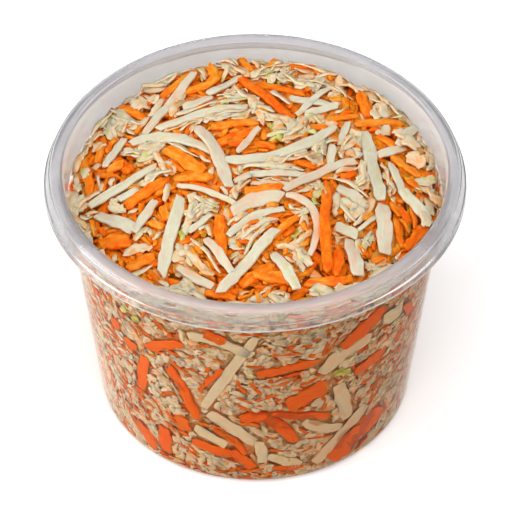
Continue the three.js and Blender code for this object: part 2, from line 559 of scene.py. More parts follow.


# What the salad is cut into

# taper narrows the ends, bow curves a shred sideways, bend is how tightly it can lie over others unless it
# is stiff, ripple and curl ruffle it every wave millimetres, crumple dents its face, ragged varies its
# outline, sink is the share of its thickness that it presses into the rest, and pressed is how much
# painted shade it takes where it lies against the plastic.
usual = {"stiff": False, "sink": 0.6, "pressed": 0.1}
kinds = {
    "cabbageRibs": {
        "length": (12, 26), "width": (2.4, 3.8), "thickness": (1.1, 1.6), "taper": 0.38, "bow": 0.12,
        "bend": 0.035, "ripple": 0.1, "wave": 13.0, "curl": 0.2, "crumple": 0.06, "ragged": 0.1,
        "sink": 0.45, "pressed": 0.14,
    },
    "carrotSticks": {
        "length": (9, 21), "width": (2.1, 3.3), "thickness": (1.5, 2.2), "taper": 0.35, "bow": 0.05,
        "bend": 0.012, "stiff": True, "ripple": 0.12, "wave": 8.0, "curl": 0.12, "crumple": 0.13,
        "ragged": 0.13, "sink": 0.45, "pressed": 0.8,
    },
    "leafFlakes": {
        "length": (4.5, 10), "width": (2.0, 4.0), "thickness": (0.25, 0.4), "taper": 0.6, "bow": 0.16,
        "bend": 0.14, "ripple": 0.2, "wave": 5.5, "curl": 0.3, "crumple": 0.16, "ragged": 0.22,
        "pressed": 0,
    },
    "leafShreds": {
        "length": (6, 16), "width": (1.0, 2.3), "thickness": (0.25, 0.4), "taper": 0.6, "bow": 0.16,
        "bend": 0.12, "ripple": 0.15, "wave": 8.0, "curl": 0.35, "crumple": 0.07, "ragged": 0.12,
        "pressed": 0,
    },
    "leafCrumbs": {
        "length": (3, 8), "width": (0.8, 1.7), "thickness": (0.25, 0.4), "taper": 0.75, "bow": 0.2,
        "bend": 0.25, "ripple": 0.12, "wave": 4.0, "curl": 0.35, "crumple": 0.08, "ragged": 0.2,
        "pressed": 0,
    },
    "pressedFlakes": {
        "length": (3.5, 8), "width": (2.4, 4.4), "thickness": (0.25, 0.45), "taper": 0.5, "bow": 0.12,
        "bend": 0.2, "ripple": 0.16, "wave": 3.2, "curl": 0.15, "crumple": 0.2, "ragged": 0.2,
    },
    "pressedShreds": {
        "length": (4, 11), "width": (1.3, 2.8), "thickness": (0.25, 0.45), "taper": 0.5, "bow": 0.12,
        "bend": 0.25, "ripple": 0.18, "wave": 5.0, "curl": 0.2, "crumple": 0.1, "ragged": 0.25,
    },
    "pressedCrumbs": {
        "length": (2.5, 6.5), "width": (1.0, 2.4), "thickness": (0.25, 0.4), "taper": 0.7, "bow": 0.15,
        "bend": 0.3, "ripple": 0.15, "wave": 3.4, "curl": 0.3, "crumple": 0.1, "ragged": 0.3,
    },
    "carrotThreads": {
        "length": (3.5, 11), "width": (1.0, 1.9), "thickness": (0.6, 1.1), "taper": 0.45, "bow": 0.12,
        "bend": 0.1, "ripple": 0.16, "wave": 4.5, "curl": 0.3, "crumple": 0.12, "ragged": 0.2,
        "pressed": 0.5,
    },
    "carrotShavings": {
        "length": (4, 12), "width": (0.7, 1.5), "thickness": (0.5, 0.8), "taper": 0.45, "bow": 0.12,
        "bend": 0.15, "ripple": 0.16, "wave": 4.5, "curl": 0.2, "crumple": 0.12, "ragged": 0.24,
        "pressed": 0.5,
    },
    "greenCabbage": {
        "length": (4, 11), "width": (1.1, 2.2), "thickness": (0.5, 0.8), "taper": 0.3, "bow": 0.15,
        "bend": 0.15, "ripple": 0.2, "wave": 4.5, "curl": 0.3, "crumple": 0.2, "ragged": 0.2,
    },
}
for kind in kinds.values():
    kind.update({**usual, **kind})
shreds = {name: [] for name in kinds}  # the shreds laid so far


def curvedPath(middle, yaw, length, bow):
    # stations along a shallow arc, one row for each place tried
    share = np.linspace(-0.5, 0.5, stations)
    along = share[None, :] * length
    across = bow * length * (1 - 4 * share[None, :] ** 2) * np.ones((len(middle), 1))
    cos, sin = np.cos(yaw)[:, None], np.sin(yaw)[:, None]
    return middle[:, :1] + along * cos - across * sin, middle[:, 1:] + along * sin + across * cos


def keep(surfaceName, kindName, u, v, low, width, thickness, lean, shown=False):
    press(surfaces[surfaceName], u, v, low, width, thickness, lean, shown)
    shreds[kindName].append({
        "surface": surfaceName,
        "u": u,
        "v": v,
        "low": low,
        "width": width,
        "thickness": thickness,
        "lean": lean,
        "shown": shown,
        "tone": draw.random(),
        "slant": draw.normal(0, 0.35),
        "phase": draw.random(5) * math.tau,
    })


laying = {
    "wallGap": 0.6,  # how far from the wall the mound's shreds stay
    "cornerGap": 3.0,  # and the floor's shreds from the rounded corner
    "floorGap": 1.0,  # and the wall's shreds from the floor
    "edgeDrop": 1.2,  # how far under the heap's edge the wall's shreds end
    "frontRise": 1.8,  # less this much at the front, where the rim hides it
    "backDrop": 0.35,  # and more by this share of the edge's rise at the back
    "coverCost": 3.0,  # what it costs to cover a shred that has to show
    "coverMost": 0.15,  # no shred may do so over more of its length
    "never": 50.0,  # the cost of a place that can't be used
}


def strays(surfaceName, u, v):
    # whether a part of the shred leaves its surface
    if surfaceName == "mound":
        return (np.hypot(u, v) > innerRadius(mound["edge"]) - laying["wallGap"]).any(axis=1)
    if surfaceName == "floor":
        return (np.hypot(u, v) > cup["baseRadius"] - laying["cornerGap"]).any(axis=1)
    edge = wallEdge(u)
    front = np.clip(np.sin(u / grid["wallRadius"]), 0, 1)
    high = edge - laying["edgeDrop"] + laying["frontRise"] * front
    high = high - laying["backDrop"] * (edge - mound["edge"])
    return ((v < laying["floorGap"]) | (v > high)).any(axis=1)


def fibreYaw(surfaceName, middle, spread):
    # neighbours lie roughly alike, as they fell from the knife, and slope down to the front on the wall
    u, v = middle[:, 0] / 9, middle[:, 1] / 9
    swirl = 1.3 * np.sin(u + 1.4 * np.sin(0.8 * v + 1)) + 1.2 * np.sin(1.2 * v + 1.3 * np.sin(0.7 * u + 2))
    if surfaceName == "wall":
        swirl = 1.05 * np.sin(middle[:, 0] / grid["wallRadius"] - math.pi / 2) + 0.26 * swirl
    return swirl + draw.normal(0, spread, len(middle))


def scatter(surfaceName, kindName, count, region, limit, tries=9, upright=1.0, spread=None):
    # lays shreds one after another, each in the lowest of the places tried, if that isn't over the limit
    surface, kind = surfaces[surfaceName], kinds[kindName]
    laid = 0
    for _ in range(count):
        length = draw.uniform(*kind["length"])
        width = draw.uniform(*kind["width"])
        thickness = draw.uniform(*kind["thickness"])
        bow = draw.uniform(-kind["bow"], kind["bow"])
        middle = region(tries)
        if spread is None:
            yaw = draw.uniform(-math.pi / 2, math.pi / 2, tries)
        else:
            yaw = fibreYaw(surfaceName, middle, spread)
        u, v = curvedPath(middle, yaw * upright, length, bow)
        low, lean = settle(surface, kind, u, v, width, thickness)
        base = moundHeight(u, v) if surfaceName == "mound" else 0
        over = low - base
        over = over.mean(axis=1) * 0.6 + over.max(axis=1) * 0.4 + thickness
        covers = surface["taken"][cells(surface, u, v)].mean(axis=1)
        banned = strays(surfaceName, u, v) | (covers > laying["coverMost"])
        over += laying["coverCost"] * covers + np.where(banned, laying["never"], 0)
        best = over.argmin()
        if over[best] > limit:
            continue
        keep(surfaceName, kindName, u[best], v[best], low[best], width, thickness, lean[best])
        laid += 1
    print("  ", surfaceName, kindName, laid, "of", count)


def castOnMound(pixels, heights):
    # where lines of sight meet the given heights
    places = []
    for pixel, height in zip(pixels, heights):
        start, direction = pixelRay(pixel)
        places.append((start + direction * (height - start[2]) / direction[2])[:2])
    return np.array(places)


def castOnWall(pixels):
    # where lines of sight meet the inside of the wall, on its near side
    places = []
    for pixel in pixels:
        start, direction = pixelRay(pixel)
        a = direction[0] ** 2 + direction[1] ** 2 - (slope * direction[2]) ** 2
        wallAtStart = innerRadius(start[2])
        b = start[0] * direction[0] + start[1] * direction[1] - wallAtStart * slope * direction[2]
        c = start[0] ** 2 + start[1] ** 2 - wallAtStart ** 2
        reach = (-b - math.sqrt(max(b * b - a * c, 0))) / a
        place = start + direction * reach
        angle = -math.atan2(place[1], place[0]) % math.tau
        places.append((angle * grid["wallRadius"], place[2]))
    return np.array(places)


def throughPoints(points):
    # stations on a smooth curve through two or three points
    share = np.linspace(0, 1, stations)[:, None]
    start, end = points[0], points[-1]
    if len(points) == 2:
        return start + (end - start) * share
    pull = 2 * points[1] - (start + end) / 2
    return (1 - share) ** 2 * start + 2 * share * (1 - share) * pull + share ** 2 * end


def trueWidth(cast, widthPixels, pixels, thickness, onMound):
    # the width of a shred that looks so wide, without the side face that shows below its top
    first, last = np.array(pixels[0], float), np.array(pixels[-1], float)
    run = (last - first) / np.linalg.norm(last - first)
    middle = (first + last) / 2
    off = np.array([-run[1], run[0]]) * widthPixels / 2
    one, two, head, tail = cast([middle + off, middle - off, first, last])
    run = (tail - head) / np.linalg.norm(tail - head)
    gap = one - two
    width = abs(run[0] * gap[1] - run[1] * gap[0])
    tilt = math.tan(math.radians(camera["elevation"]))
    width -= 0.8 * thickness * abs(run[0]) * (1 / tilt if onMound else tilt)
    return max(width, 1.3)


def layShown(surfaceName, kindName, shown, thickness):
    # lays the shreds that the photograph shows, each given as its width and the pixels that it runs through
    surface, kind = surfaces[surfaceName], kinds[kindName]
    onMound = surfaceName == "mound"
    for widthPixels, *pixels in shown:
        thick = thickness if widthPixels > 8 else thickness * 0.75  # narrow ones are thinner
        middles = [mound["crown"] for _ in pixels]
        for _ in range(4 if onMound else 1):

            def cast(points):
                return castOnMound(points, [np.mean(middles)] * 4) if onMound else castOnWall(points)

            width = trueWidth(cast, widthPixels, pixels, thick, onMound)
            places = castOnMound(pixels, middles) if onMound else castOnWall(pixels)
            path = throughPoints(places)
            u, v = path[None, :, 0], path[None, :, 1]
            low, lean = settle(surface, kind, u, v, width, thick)
            picks = [0, stations // 2, stations - 1] if len(pixels) == 3 else [0, stations - 1]
            middles = [low[0][i] + thick / 2 for i in picks]
        keep(surfaceName, kindName, u[0], v[0], low[0], width, thick, lean[0], shown=True)


# The shreds that stand out in the photograph: a width, then the pixels that each runs through, lowest first
shownOnWall = {
    "carrotSticks": [
        (10, (168, 364), (183, 390), (198, 420)), (12, (146, 347), (183, 342)),
        (11, (145, 355), (142, 388)), (7, (125, 338), (138, 348)), (10, (204, 334), (226, 341)),
        (9, (254, 374), (287, 369), (320, 360)), (7, (138, 419), (157, 449)),
        (12, (164, 426), (167, 451)), (12, (180, 416), (186, 430)),
        (12, (237, 418), (270, 421), (297, 443)), (16, (286, 407), (328, 383)),
        (9, (269, 415), (331, 414)), (10, (191, 440), (233, 454)), (11, (231, 450), (254, 468)),
        (7, (112, 318), (121, 328)), (11, (342, 347), (362, 330), (385, 306)),
        (9, (353, 373), (386, 347)), (15, (327, 460), (356, 436), (382, 404)),
        (9, (404, 313), (411, 301)), (6, (272, 467), (303, 466)), (6, (262, 330), (300, 327)),
    ],
    "cabbageRibs": [
        (10, (185, 335), (220, 343), (256, 357)), (12, (256, 337), (204, 407)),
        (12, (209, 412), (256, 442)), (10, (194, 425), (228, 446)), (12, (259, 440), (263, 463)),
        (10, (267, 456), (301, 463)), (12, (321, 373), (345, 352), (371, 336)),
        (16, (338, 384), (347, 417)), (11, (304, 421), (322, 427), (341, 426)),
        (10, (365, 404), (314, 462)), (12, (382, 320), (402, 306)),
    ],
    "greenCabbage": [
        (8, (333, 373), (351, 370)), (6, (131, 317), (140, 320)), (6, (122, 306), (127, 312)),
    ],
}
# Pale leaves along the heap's far edge
shownAtEdge = [
    (16, (134, 109), (147, 99)), (14, (147, 100), (158, 95)), (12, (334, 83), (345, 86)),
    (14, (346, 83), (360, 92)), (13, (396, 129), (408, 141)), (15, (403, 138), (418, 149)),
    (14, (408, 152), (424, 167)), (12, (427, 198), (432, 215)), (12, (422, 212), (429, 227)),
    (10, (298, 76), (314, 78)), (11, (94, 152), (102, 142)), (11, (82, 178), (87, 168)),
]
shownOnMound = [
    ("carrotSticks", [
        (11, (211, 127), (259, 122)), (10, (216, 146), (236, 136), (262, 132)),
        (9, (228, 146), (252, 140)), (8, (254, 143), (277, 147)), (13, (114, 160), (131, 172)),
        (10, (106, 172), (124, 162)), (15, (98, 245), (130, 239)), (9, (105, 252), (132, 246)),
        (9, (149, 221), (163, 229)), (9, (189, 183), (219, 194)), (9, (376, 136), (399, 148)),
        (9, (398, 207), (410, 223)), (8, (394, 219), (403, 248)), (12, (219, 215), (222, 259)),
        (9, (272, 237), (301, 214)), (13, (241, 286), (273, 264)), (12, (262, 284), (290, 272)),
        (9, (309, 126), (327, 129)), (8, (324, 120), (358, 116)), (8, (296, 161), (318, 167)),
        (7, (370, 263), (385, 259)), (8, (168, 282), (182, 286)), (8, (205, 295), (236, 299)),
        (11, (303, 284), (330, 283), (354, 278)), (9, (252, 275), (296, 288)),
        (10, (163, 206), (167, 220)), (13, (340, 250), (334, 276)),
    ]),
    ("cabbageRibs", [
        (9, (156, 130), (200, 115), (250, 107)), (10, (182, 108), (213, 97)), (9, (208, 94), (241, 76)),
        (8, (289, 98), (334, 105)), (7, (296, 115), (329, 88)), (7, (303, 115), (340, 104)),
        (8, (348, 120), (340, 146)), (9, (332, 144), (330, 168)), (12, (337, 186), (362, 202)),
        (9, (389, 162), (404, 194)), (10, (205, 239), (218, 252), (233, 273)),
        (10, (177, 267), (213, 287)), (7, (212, 214), (188, 232)), (9, (378, 156), (406, 147)),
        (10, (417, 126), (397, 144)), (14, (97, 214), (136, 231)), (7, (234, 182), (260, 170)),
        (7, (250, 173), (306, 175)), (6, (250, 183), (291, 185)), (9, (116, 200), (140, 190)),
    ]),
    ("carrotSticks", [
        (10, (196, 71), (160, 99)), (11, (207, 65), (213, 80), (183, 93)), (10, (119, 107), (147, 120)),
        (8, (254, 84), (306, 95)), (9, (236, 53), (252, 73)), (7, (284, 54), (265, 69)),
        (12, (360, 92), (368, 117)), (10, (354, 124), (404, 123)), (15, (166, 149), (204, 173)),
        (11, (175, 174), (213, 182)), (13, (168, 178), (124, 208)), (9, (104, 137), (98, 163)),
        (11, (84, 161), (91, 196)), (11, (391, 157), (423, 179)), (7, (421, 176), (435, 175)),
        (9, (340, 178), (355, 173)), (11, (243, 193), (284, 187)), (12, (127, 270), (154, 256)),
        (12, (428, 229), (405, 250)), (10, (240, 79), (292, 119)),
    ]),
    ("cabbageRibs", [
        (9, (104, 168), (125, 137)), (10, (195, 72), (144, 134)),
        (11, (129, 145), (170, 138), (224, 157)), (14, (197, 127), (216, 152), (229, 187)),
        (7, (260, 127), (237, 152)), (11, (225, 159), (285, 152), (335, 126)),
        (9, (285, 190), (320, 173), (357, 161)), (10, (158, 165), (89, 207)),
        (6, (177, 186), (210, 193), (237, 206)), (10, (156, 200), (133, 232)),
        (8, (227, 238), (252, 217), (288, 209)), (13, (230, 214), (256, 200), (285, 198)),
        (15, (364, 132), (381, 200)), (11, (334, 226), (359, 236)), (12, (400, 188), (430, 222)),
        (6, (359, 232), (379, 214)), (16, (383, 202), (385, 256)), (15, (348, 239), (360, 276)),
        (12, (271, 252), (286, 268), (298, 291)), (12, (279, 226), (217, 297)),
        (14, (182, 194), (160, 277)), (9, (286, 195), (316, 216), (309, 255)),
    ]),
    ("carrotSticks", [
        (11, (328, 181), (325, 228), (329, 275)),
    ]),
]

# Where grated carrot lies between the larger shreds: the middle's pixel and the reach in millimetres
carrotPlaces = [
    (235, 138, 8), (115, 170, 6), (190, 170, 7), (145, 205, 6), (110, 240, 6), (145, 262, 5),
    (220, 240, 6.5), (290, 235, 9.5), (260, 275, 7), (330, 270, 7), (300, 285, 7), (395, 225, 5.5),
    (415, 245, 4.5), (385, 140, 5.5), (205, 85, 5), (300, 100, 5.5), (355, 100, 4), (405, 170, 4.5),
]


def carrotShare(u, v):
    # from 0 to 1, how much of the fine shreds on the mound are carrot
    pixels = [place[:2] for place in carrotPlaces]
    middles = castOnMound(pixels, [mound["crown"]] * len(pixels))
    for _ in range(3):
        middles = castOnMound(pixels, moundHeight(*middles.T))
    reach = np.array([place[2] for place in carrotPlaces])
    away = np.hypot(u[:, None] - middles[None, :, 0], (v[:, None] - middles[None, :, 1]) * 0.8)
    return np.clip(1.5 - away / reach, 0, 1).max(axis=1)


def onDisc(radius, carrot=None):
    # carrot prefers the places where grated carrot shows (1) or where it doesn't (-1)
    def region(count):
        more = count * 8 if carrot else count
        out = radius * np.sqrt(draw.random(more))
        turn = draw.uniform(0, math.tau, more)
        u, v = out * np.cos(turn), out * np.sin(turn)
        if carrot:
            share = carrotShare(u, v)
            chance = 0.1 + share if carrot > 0 else 1.12 - share
            chosen = draw.choice(more, count, replace=False, p=chance / chance.sum())
            u, v = u[chosen], v[chosen]
        return np.stack([u, v], axis=1)
    return region


def onWall(low, margin, behind=False):
    # margin is how far they stay under the heap's edge, and behind keeps to the half that the camera misses
    def region(count):
        around = draw.uniform(math.pi if behind else 0, math.tau, count) * grid["wallRadius"]
        return np.stack([around, low + (wallEdge(around) - margin - low) * draw.random(count)], axis=1)
    return region


def layWall():
    for kindName, shown in shownOnWall.items():
        layShown("wall", kindName, shown, thickness=0.9)
    depth = mound["underWall"] + 0.7
    scatter("wall", "cabbageRibs", 20, onWall(5, 6, behind=True), 2.6, tries=14, upright=0.8)
    scatter("wall", "carrotSticks", 26, onWall(5, 6, behind=True), 2.6, tries=14, upright=0.8)
    scatter("wall", "pressedCrumbs", 1200, onWall(1.5, 0), 0.9, tries=12, spread=1.0)
    scatter("wall", "carrotShavings", 420, onWall(2, 1), 1.2, spread=0.5)
    scatter("wall", "pressedFlakes", 480, onWall(1.5, 1), 1.4, spread=1.0)
    scatter("wall", "pressedShreds", 1000, onWall(1.5, 1), 1.4, spread=0.7)
    scatter("wall", "carrotThreads", 200, onWall(2, 1), 1.8, spread=0.6)
    scatter("wall", "cabbageRibs", 14, onWall(5, 6), 3.0, tries=14, upright=0.8)
    scatter("wall", "carrotSticks", 24, onWall(5, 6), 3.2, tries=14, upright=0.8)
    scatter("wall", "greenCabbage", 40, onWall(3, 3), depth, spread=0.4)
    scatter("wall", "carrotShavings", 600, onWall(2, 1), depth, spread=0.5)
    scatter("wall", "pressedFlakes", 400, onWall(1.5, 1), depth, spread=1.0)
    scatter("wall", "pressedShreds", 1100, onWall(1.5, 1), depth, spread=0.8)
    scatter("wall", "pressedCrumbs", 3000, onWall(1.5, 0), depth, tries=12, spread=1.0)


def layFloor():
    scatter("floor", "cabbageRibs", 24, onDisc(38), 3.0)
    scatter("floor", "carrotSticks", 24, onDisc(38), 3.0)
    scatter("floor", "pressedFlakes", 200, onDisc(40), 2.5)
    scatter("floor", "carrotThreads", 90, onDisc(40), 2.5)
    scatter("floor", "pressedShreds", 400, onDisc(40), 2.5)
    scatter("floor", "pressedCrumbs", 500, onDisc(40), 2.5)


def layMound():
    wide = innerRadius(mound["edge"]) - 1
    scatter("mound", "carrotSticks", 50, onDisc(wide), -1.5)
    scatter("mound", "cabbageRibs", 50, onDisc(wide), -1.5)
    scatter("mound", "leafFlakes", 300, onDisc(wide, -1), -0.8)
    scatter("mound", "carrotThreads", 600, onDisc(wide, 1), -0.6, spread=0.6)
    for kindName, shown in shownOnMound:
        layShown("mound", kindName, shown, thickness=1.0 if kindName == "cabbageRibs" else 1.5)
    layShown("mound", "leafFlakes", shownAtEdge, thickness=0.6)
    scatter("mound", "greenCabbage", 40, onDisc(wide, -1), 0.3)
    scatter("mound", "leafFlakes", 350, onDisc(wide, -1), 0.3, tries=12)
    scatter("mound", "carrotThreads", 1000, onDisc(wide, 1), 0.3, tries=12, spread=0.7)
    scatter("mound", "leafShreds", 900, onDisc(wide, -1), 0.5, tries=12, spread=0.8)
    scatter("mound", "carrotThreads", 700, onDisc(wide), -0.2, tries=24, spread=0.7)
    scatter("mound", "leafCrumbs", 1800, onDisc(wide, -1), 0.1, tries=24, spread=0.7)


def moundReport(stage):
    u, v = flatGrid()
    over = (surfaces["mound"]["heap"] - moundHeight(u, v))[np.hypot(u, v) < 48]
    print(stage, "over the mound, mm:", np.round(np.percentile(over, [1, 25, 50, 75, 99]), 2))


layWall()
layFloor()
layMound()
moundReport("heap")
print("salad laid:", {name: len(laid) for name, laid in shreds.items()})


# The shreds' shapes


def template(length, width, thickness, rounding, cuts, crossCuts=0):
    # one straight shred, scaled back to a unit bar
    bm = bmesh.new()
    bmesh.ops.create_cube(bm, size=1.0)
    bmesh.ops.scale(bm, vec=(length, width, thickness), verts=bm.verts[:])
    if rounding:
        bmesh.ops.bevel(
            bm,
            geom=bm.edges[:],
            offset=rounding,
            offset_type="OFFSET",
            segments=1,
            profile=0.5,
            affect="EDGES",
            material=-1,
        )
    lengthwise = [e for e in bm.edges if abs(e.verts[0].co.x - e.verts[1].co.x) > length / 2]
    bmesh.ops.subdivide_edges(bm, edges=lengthwise, cuts=cuts, use_grid_fill=True)
    if crossCuts:
        crosswise = [e for e in bm.edges if abs(e.verts[0].co.y - e.verts[1].co.y) > width / 2]
        bmesh.ops.subdivide_edges(bm, edges=crosswise, cuts=crossCuts, use_grid_fill=True)
    bmesh.ops.scale(bm, vec=(1 / length, 1 / width, 1 / thickness), verts=bm.verts[:])
    bmesh.ops.triangulate(bm, faces=[f for f in bm.faces if len(f.verts) > 4])
    bm.verts.ensure_lookup_table()
    points = np.array([v.co for v in bm.verts])
    faces = [[v.index for v in f.verts] for f in bm.faces]
    bm.free()
    return points, faces


templates = {
    "cabbageRibs": template(20, 3.3, 1.6, 0.34, 10),
    "carrotSticks": template(16, 2.8, 2.1, 0.55, 8),
    "leafFlakes": template(6.5, 3.5, 0.6, 0, 6, 3),
    "leafShreds": template(10, 1.2, 0.7, 0, 9),
    "leafCrumbs": template(4, 1.0, 0.7, 0, 4),
    "pressedFlakes": template(6, 3.0, 0.6, 0, 5, 2),
    "pressedShreds": template(8, 1.2, 0.7, 0, 5),
    "pressedCrumbs": template(4, 1.0, 0.7, 0, 4),
    "carrotThreads": template(8, 1.4, 1.0, 0, 5),
    "carrotShavings": template(8, 1.2, 0.7, 0, 5),
    "greenCabbage": template(10, 2.0, 0.6, 0, 7),
}


grainStep = 7.3  # moves each shred's pattern on from the last one's


def shaped(kind, shred, points):
    # bends the unit bar into one shred, in the surface's own coordinates
    p, q, k = points[:, 0].copy(), points[:, 1], points[:, 2]
    length = np.hypot(np.diff(shred["u"]), np.diff(shred["v"])).sum()
    p += shred["slant"] * q * shred["width"] / length * np.abs(2 * p)  # ends cut askew
    p *= 1 + kind["ragged"] * np.sin(7 * q + shred["phase"][0])
    share = np.linspace(-0.5, 0.5, stations)
    u, v, low = (np.interp(p, share, shred[name]) for name in ("u", "v", "low"))
    du, dv = (np.interp(p, share, np.gradient(shred[name])) for name in ("u", "v"))
    size = np.maximum(np.hypot(du, dv), 1e-6)
    along = p * length
    end = np.abs(2 * p) ** 3 * (0.8 if shred["shown"] else 1)
    one, two, three, four, five = shred["phase"]
    turn = math.tau / kind["wave"]
    # uneven edges
    uneven = np.sin(along * turn * 1.7 + four + 1.5 * q) + 0.7 * np.sin(along * turn * 3.1 + five - 2.2 * q)
    width = shred["width"] * (1 - kind["taper"] * end) * (1 + kind["ragged"] * uneven)
    thickness = shred["thickness"] * (1 - kind["taper"] * 0.6 * end)
    thickness = thickness * (1 + kind["ragged"] * 0.5 * np.cos(along * turn * 2 + one))
    curl = np.arctan(shred["lean"]) + kind["curl"] * np.sin(along * turn * 0.6 + one)
    ripple = kind["ripple"] * np.sin(along * turn + two)
    sway = kind["ripple"] * 1.4 * np.sin(along * turn * 0.7 + three)
    across = q * width * np.cos(curl) - k * thickness * np.sin(curl) + sway
    upward = q * width * np.sin(curl) + k * thickness * np.cos(curl)
    dent = np.sin(along * 1.5 + two) * np.sin(q * width * 1.7 + three)
    dent += 0.6 * np.sin(along * 2.7 - q * width * 2.2 + four)
    height = low + thickness / 2 + upward + ripple + kind["crumple"] * dent
    inside = np.stack([along, q * width, k * thickness], axis=1)
    return u - dv / size * across, v + du / size * across, height, inside


def blurred(heap, times):
    for _ in range(times):
        for axis in (0, 1):
            heap = (np.roll(heap, 1, axis) + heap + np.roll(heap, -1, axis)) / 3
    return heap


skin = blurred(surfaces["mound"]["heap"], 10)  # the heap's top, smoothed over about 2 mm
shading = {"start": 0.3, "end": 1.9, "edge": 4.0}  # how deep the painted shade starts and is full, and its fade at the edge


def depthUnder(surfaceName, u, v, h):
    # how far a point lies under the heap's top, or behind the shreds that touch the wall or the floor; this
    # sets its painted shade
    if surfaceName == "mound":
        return skin[cells(surfaces["mound"], u, v)] - h
    behind = h - mound["bite"]
    if surfaceName == "wall":
        return behind * np.clip((wallEdge(u) - v) / shading["edge"], 0, 1)
    return behind


def buildShreds(name, material):
    kind, laid = kinds[name], shreds[name]
    points, faces = templates[name]
    allPoints, grain = [], []
    shares = {"tone": [], "deep": [], "wet": []}
    for index, shred in enumerate(laid):
        onMound = shred["surface"] == "mound"
        u, v, h, inside = shaped(kind, shred, points)
        allPoints.append(surfaces[shred["surface"]]["put"](u, v, h))
        grain.append(inside + [0, 0, index * grainStep])
        deep = depthUnder(shred["surface"], u, v, h) - shading["start"]
        deep = np.clip(deep / (shading["end"] - shading["start"]), 0, 1)
        # painted shade: against the wall and the floor a shred takes at least its kind's pressed share of the
        # shade colour
        least = 0 if onMound else kind["pressed"]
        shares["tone"].append(np.full(len(points), shred["tone"]))
        shares["deep"].append(least + (1 - least) * deep)
        # wet marks the shreds against the plastic, which the painted pressed shade tint dims
        shares["wet"].append(np.full(len(points), 0.0 if onMound else 1.0))
    coords = np.concatenate(allPoints) * mm
    allFaces = [[i + index * len(points) for i in face] for index in range(len(laid)) for face in faces]
    mesh = bpy.data.meshes.new(name)
    mesh.from_pydata(coords.tolist(), [], allFaces)
    fibres = mesh.attributes.new("grain", "FLOAT_VECTOR", "POINT")
    fibres.data.foreach_set("vector", np.concatenate(grain).ravel())
    for attribute, values in shares.items():
        mesh.attributes.new(attribute, "FLOAT", "POINT").data.foreach_set("value", np.concatenate(values))
    piece = newObject(name, mesh, material)
    if name in ("cabbageRibs", "carrotSticks"):
        flats = piece.modifiers.new("flats", "WEIGHTED_NORMAL")  # cut faces stay flat, edges soft
        flats.weight = 60
    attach(piece, "root")
    print(name, len(laid), "shreds,", sum(len(f) - 2 for f in faces) * len(laid), "triangles")


# The salad's materials


moistIor = 1.38  # of watery vegetables


def cutVegetable(name, finish):
    # A cut shred: its own tone from the stops, streaks along the fibres and slow blotches. Deeper down it
    # takes a painted shade: the shade colour, standing in for the light that comes through its wet
    # neighbours.
    # Against the plastic a painted shade tint dims it as well. streak and blotch are the patterns' sizes
    # across the fibres and along them, in millimetres, and relief is how deep the streaks are.
    material, tree, shader = newMaterial(name, {"IOR": moistIor, **finish["settings"]})
    grain, tone, deep, wet = (
        addNode(tree, "ShaderNodeAttribute", {"attribute_name": attribute})
        for attribute in ("grain", "tone", "deep", "wet")
    )
    total = addNode(tree, "ShaderNodeMapRange", {"To Min": 0.2, "To Max": 0.8}, {"Value": tone["Fac"]})[0]
    for size, detail, reach in ((finish["blotch"], 2.0, 0.5), (finish["streak"], 3.0, 0.2)):
        scale = {"Scale": (1 / size[1], 1 / size[0], 1.0)}
        stretched = addNode(tree, "ShaderNodeMapping", scale, {"Vector": grain["Vector"]})["Vector"]
        rough = {"Scale": 1.0, "Detail": detail}
        pattern = addNode(tree, "ShaderNodeTexNoise", rough, {"Vector": stretched})["Fac"]
        ends = {"From Min": 0.25, "From Max": 0.75, "To Min": -reach, "To Max": reach}
        uneven = addNode(tree, "ShaderNodeMapRange", ends, {"Value": pattern})[0]
        total = addNode(tree, "ShaderNodeMath", {"operation": "ADD"}, {0: total, 1: uneven})[0]
    colour = addNode(tree, "ShaderNodeValToRGB", {"stops": finish["stops"]}, {"Fac": total})[0]
    # painted shade: the shade colour is mixed in by depth, then the pressed shade tint is multiplied in
    # against the plastic
    for blend, tint, share in (("MIX", finish["shade"], deep), ("MULTIPLY", finish["paintedPressedShade"], wet)):
        mix = {"data_type": "RGBA", "blend_type": blend, 7: hexColour(tint)}
        colour = addNode(tree, "ShaderNodeMix", mix, {0: share["Fac"], 6: colour})[2]
    tree.links.new(colour, shader.inputs["Base Color"])
    depth = {"Strength": 0.7, "Distance": finish["relief"] * mm}
    bump = addNode(tree, "ShaderNodeBump", depth, {"Height": pattern})["Normal"]
    tree.links.new(bump, shader.inputs["Normal"])
    return material
